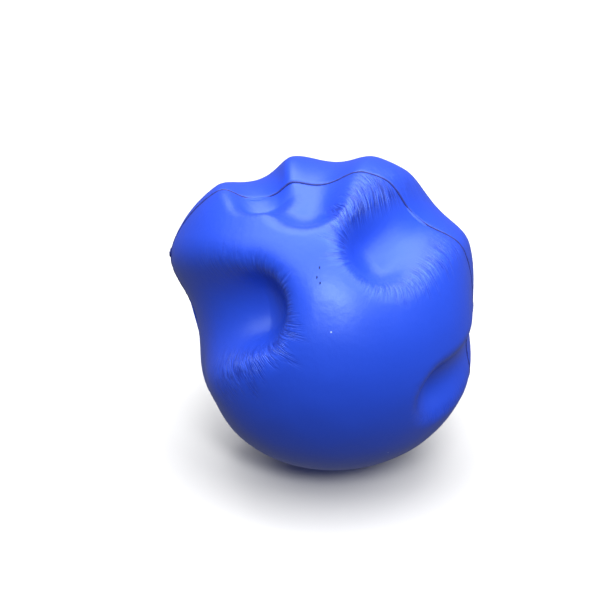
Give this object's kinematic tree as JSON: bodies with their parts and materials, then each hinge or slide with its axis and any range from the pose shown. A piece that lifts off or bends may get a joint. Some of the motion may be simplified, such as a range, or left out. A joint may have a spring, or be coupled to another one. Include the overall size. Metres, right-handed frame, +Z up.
{
  "type": "foam stress ball",
  "caption": "Blue moulded foam stress ball in its gripped shape, with finger and thumb dents, a parting line and a springy squeeze.",
  "frame": {"origin": "centre of the free ball, which is also the middle of the gripping hand", "axes": "+Z up, +Y from the fingertips towards the palm, square to the parting line, +X to the right as seen from the fingertips"},
  "size_m": [0.0621, 0.0628, 0.0626],
  "materials": {
    "coat": "satin",
    "flash": "satin",
    "foam": "matte"
  },
  "bodies": {
    "palm_side": {"foam_core": "foam", "skin_rear": "coat", "parting_flash": "flash", "gate_nub": "flash"},
    "finger_side": {"skin_front": "coat"}
  },
  "joints": [
    {"name": "squeeze", "type": "slide", "parent": "palm_side", "child": "finger_side", "axis": [0, 1, 0], "range_m": [0, 0.012], "stiffness_N_per_m": 2500, "deforming": ["skin_front", "foam_core", "skin_rear", "parting_flash"]}
  ]
}
